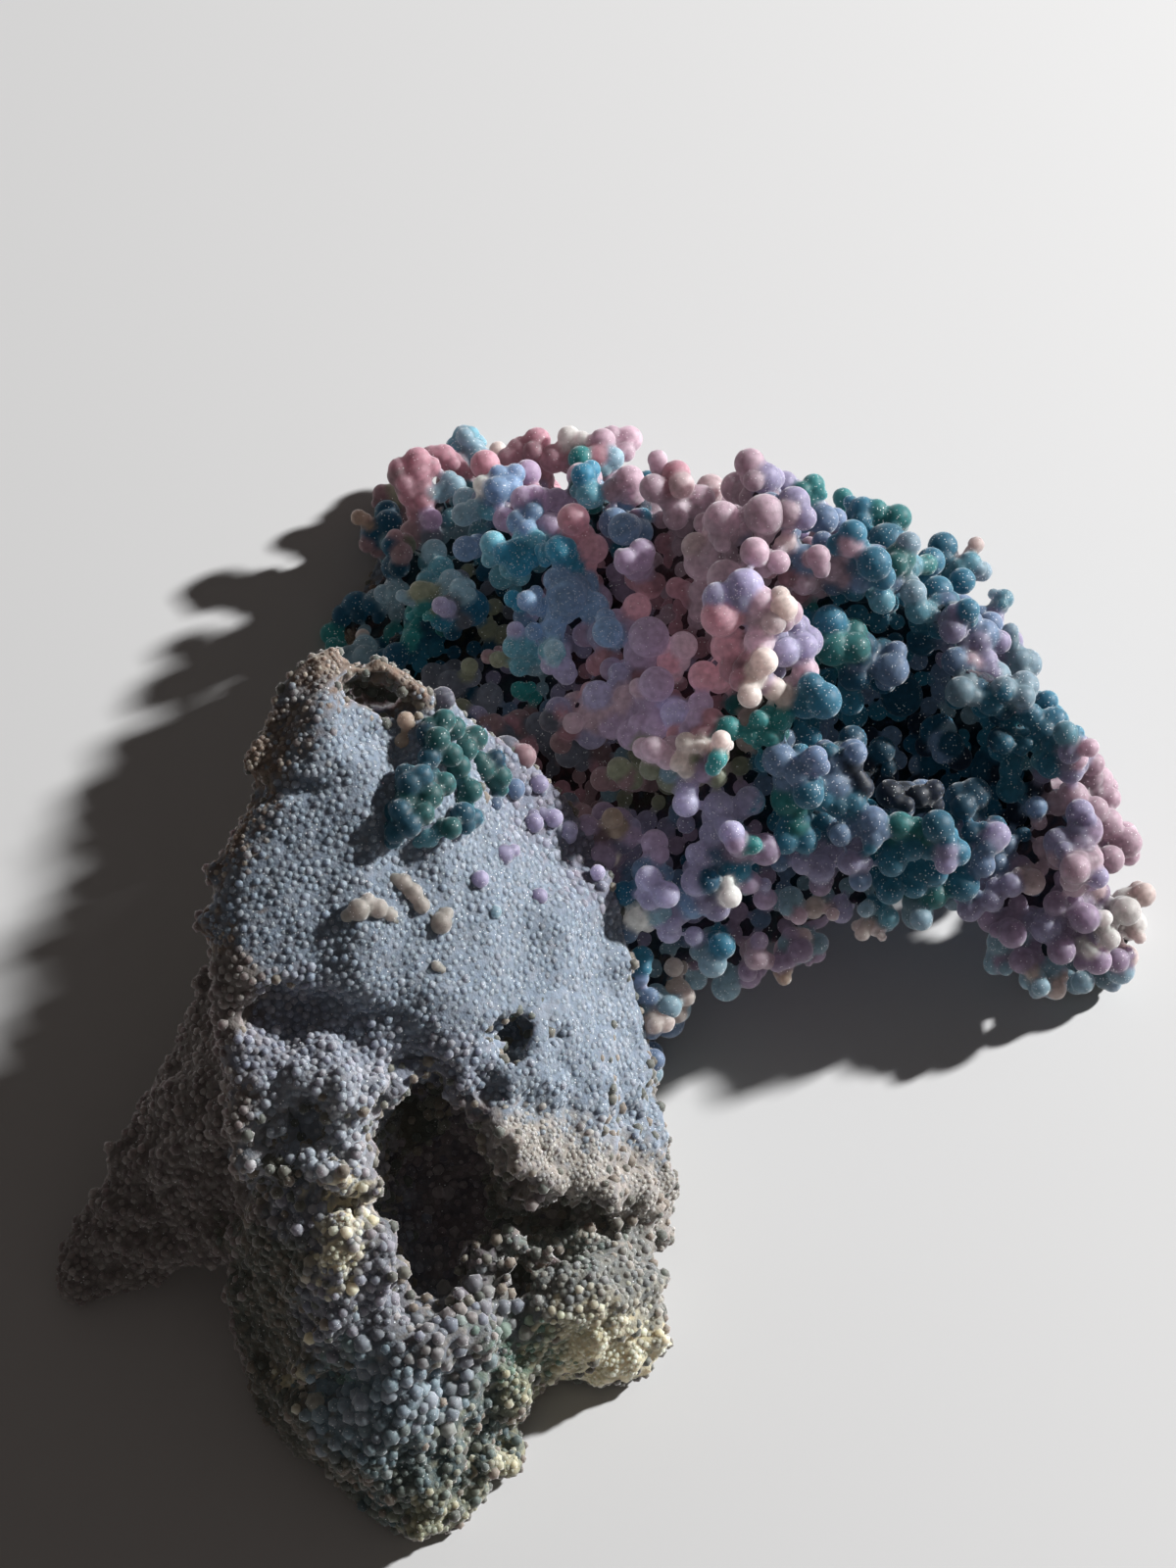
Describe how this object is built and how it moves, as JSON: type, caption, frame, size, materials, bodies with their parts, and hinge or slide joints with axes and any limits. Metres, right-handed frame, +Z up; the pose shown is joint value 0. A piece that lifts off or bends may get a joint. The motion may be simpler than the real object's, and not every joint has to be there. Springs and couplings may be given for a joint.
{
  "type": "grape agate specimen",
  "caption": "Natural cluster of grape agate: a leaning sheet of fine beads with a cavity, a side spur, and an arched crust of grape-like balls. Lies free on a flat surface.",
  "frame": {"origin": "middle of the bounding box, on the surface that the specimen rests on", "axes": "+Z up from the flat foot, -Y towards the front lobe, +X towards the tip of the ball crust"},
  "size_m": [0.1135, 0.1211, 0.049],
  "materials": {
    "agate": "waxy botryoidal chalcedony with a fine sugary sparkle"
  },
  "bodies": {
    "root": {"grape_agate": "agate"}
  },
  "joints": []
}
